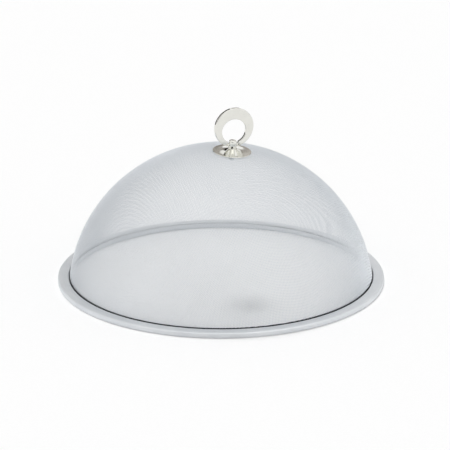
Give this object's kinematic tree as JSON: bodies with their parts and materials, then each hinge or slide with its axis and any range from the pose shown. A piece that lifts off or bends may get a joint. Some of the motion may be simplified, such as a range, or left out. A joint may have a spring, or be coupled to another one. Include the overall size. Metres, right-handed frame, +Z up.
{
  "type": "wire mesh food cover",
  "caption": "Domed wire-mesh food cover with a rolled steel rim that rests on the table and a swinging flat ring on a flared rosette at the crown to lift it by.",
  "frame": {"origin": "on the table under the centre of the rim", "axes": "+Z up from the table, +X to the right, along the ring's flat face, +Y towards the back, so that the knob stands a little to the right of the middle and in front of it"},
  "size_m": [0.35, 0.35, 0.1928],
  "materials": {
    "mesh_wire": "bright tinned steel wire",
    "rim_steel": "satin tinned sheet steel, rolled",
    "knob_nickel": "polished nickel plate",
    "fixing_zinc": "zinc-plated steel"
  },
  "bodies": {
    "cover": {"warp_wires": "mesh_wire", "weft_wires": "mesh_wire", "rolled_rim": "rim_steel", "rim_hoop": "fixing_zinc", "rosette": "knob_nickel", "ring_post": "knob_nickel", "backing_washer": "fixing_zinc", "spring_washer": "fixing_zinc", "cap_nut": "fixing_zinc"},
    "ring": {"ring_handle": "knob_nickel"}
  },
  "joints": [
    {"name": "ring_hinge", "type": "hinge", "parent": "cover", "child": "ring", "pos_m": [0.00861, -0.01185, 0.15202], "axis": [0.9987, 0.0017, -0.0502], "range_deg": [-100, 100]}
  ]
}
